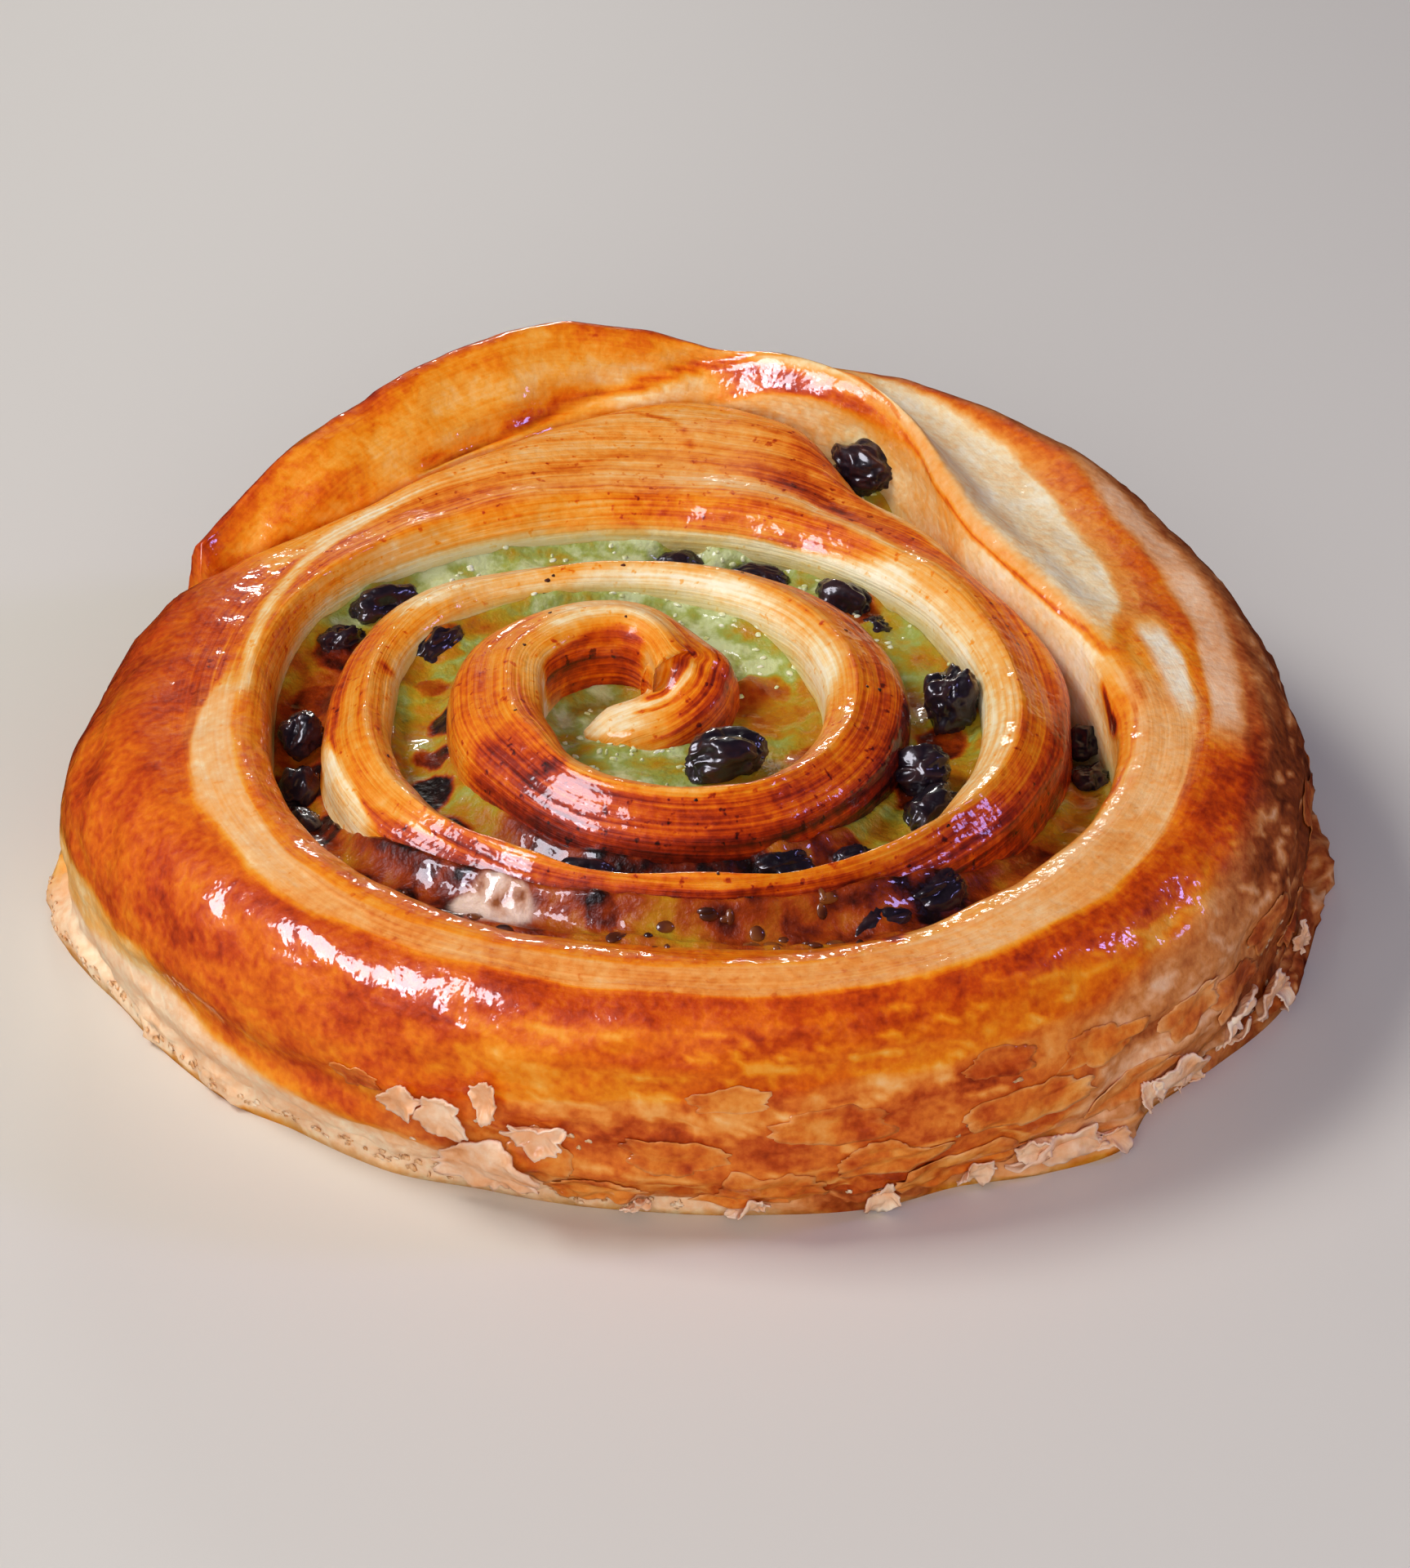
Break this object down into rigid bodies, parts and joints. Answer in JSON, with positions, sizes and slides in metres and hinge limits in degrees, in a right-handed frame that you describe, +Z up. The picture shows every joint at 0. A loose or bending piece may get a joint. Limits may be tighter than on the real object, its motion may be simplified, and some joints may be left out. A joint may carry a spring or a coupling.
{
  "type": "pain aux raisins",
  "caption": "Round glazed spiral pastry of laminated dough, with custard cream and raisins between its turns and a raised flap at the back.",
  "frame": {"origin": "on the table under the middle of the pastry's bounding box", "axes": "+Z up; the raised flap is at the back, towards +Y, and the front faces -Y"},
  "size_m": [0.1264, 0.1165, 0.0347],
  "materials": {
    "crust": "glazed baked crust",
    "cream": "moist baked custard",
    "raisin": "wrinkled and glazed"
  },
  "bodies": {
    "root": {"dough": "crust", "cream": "cream", "raisin_01": "raisin", "raisin_02": "raisin", "raisin_03": "raisin", "raisin_04": "raisin", "raisin_05": "raisin", "raisin_06": "raisin", "raisin_07": "raisin", "raisin_08": "raisin", "raisin_09": "raisin", "raisin_10": "raisin", "raisin_11": "raisin", "raisin_12": "raisin", "raisin_13": "raisin", "raisin_14": "raisin", "raisin_15": "raisin", "raisin_16": "raisin", "raisin_17": "raisin", "raisin_18": "raisin", "raisin_19": "raisin", "raisin_20": "raisin", "raisin_21": "raisin", "raisin_22": "raisin", "raisin_23": "raisin", "raisin_24": "raisin"}
  },
  "joints": []
}
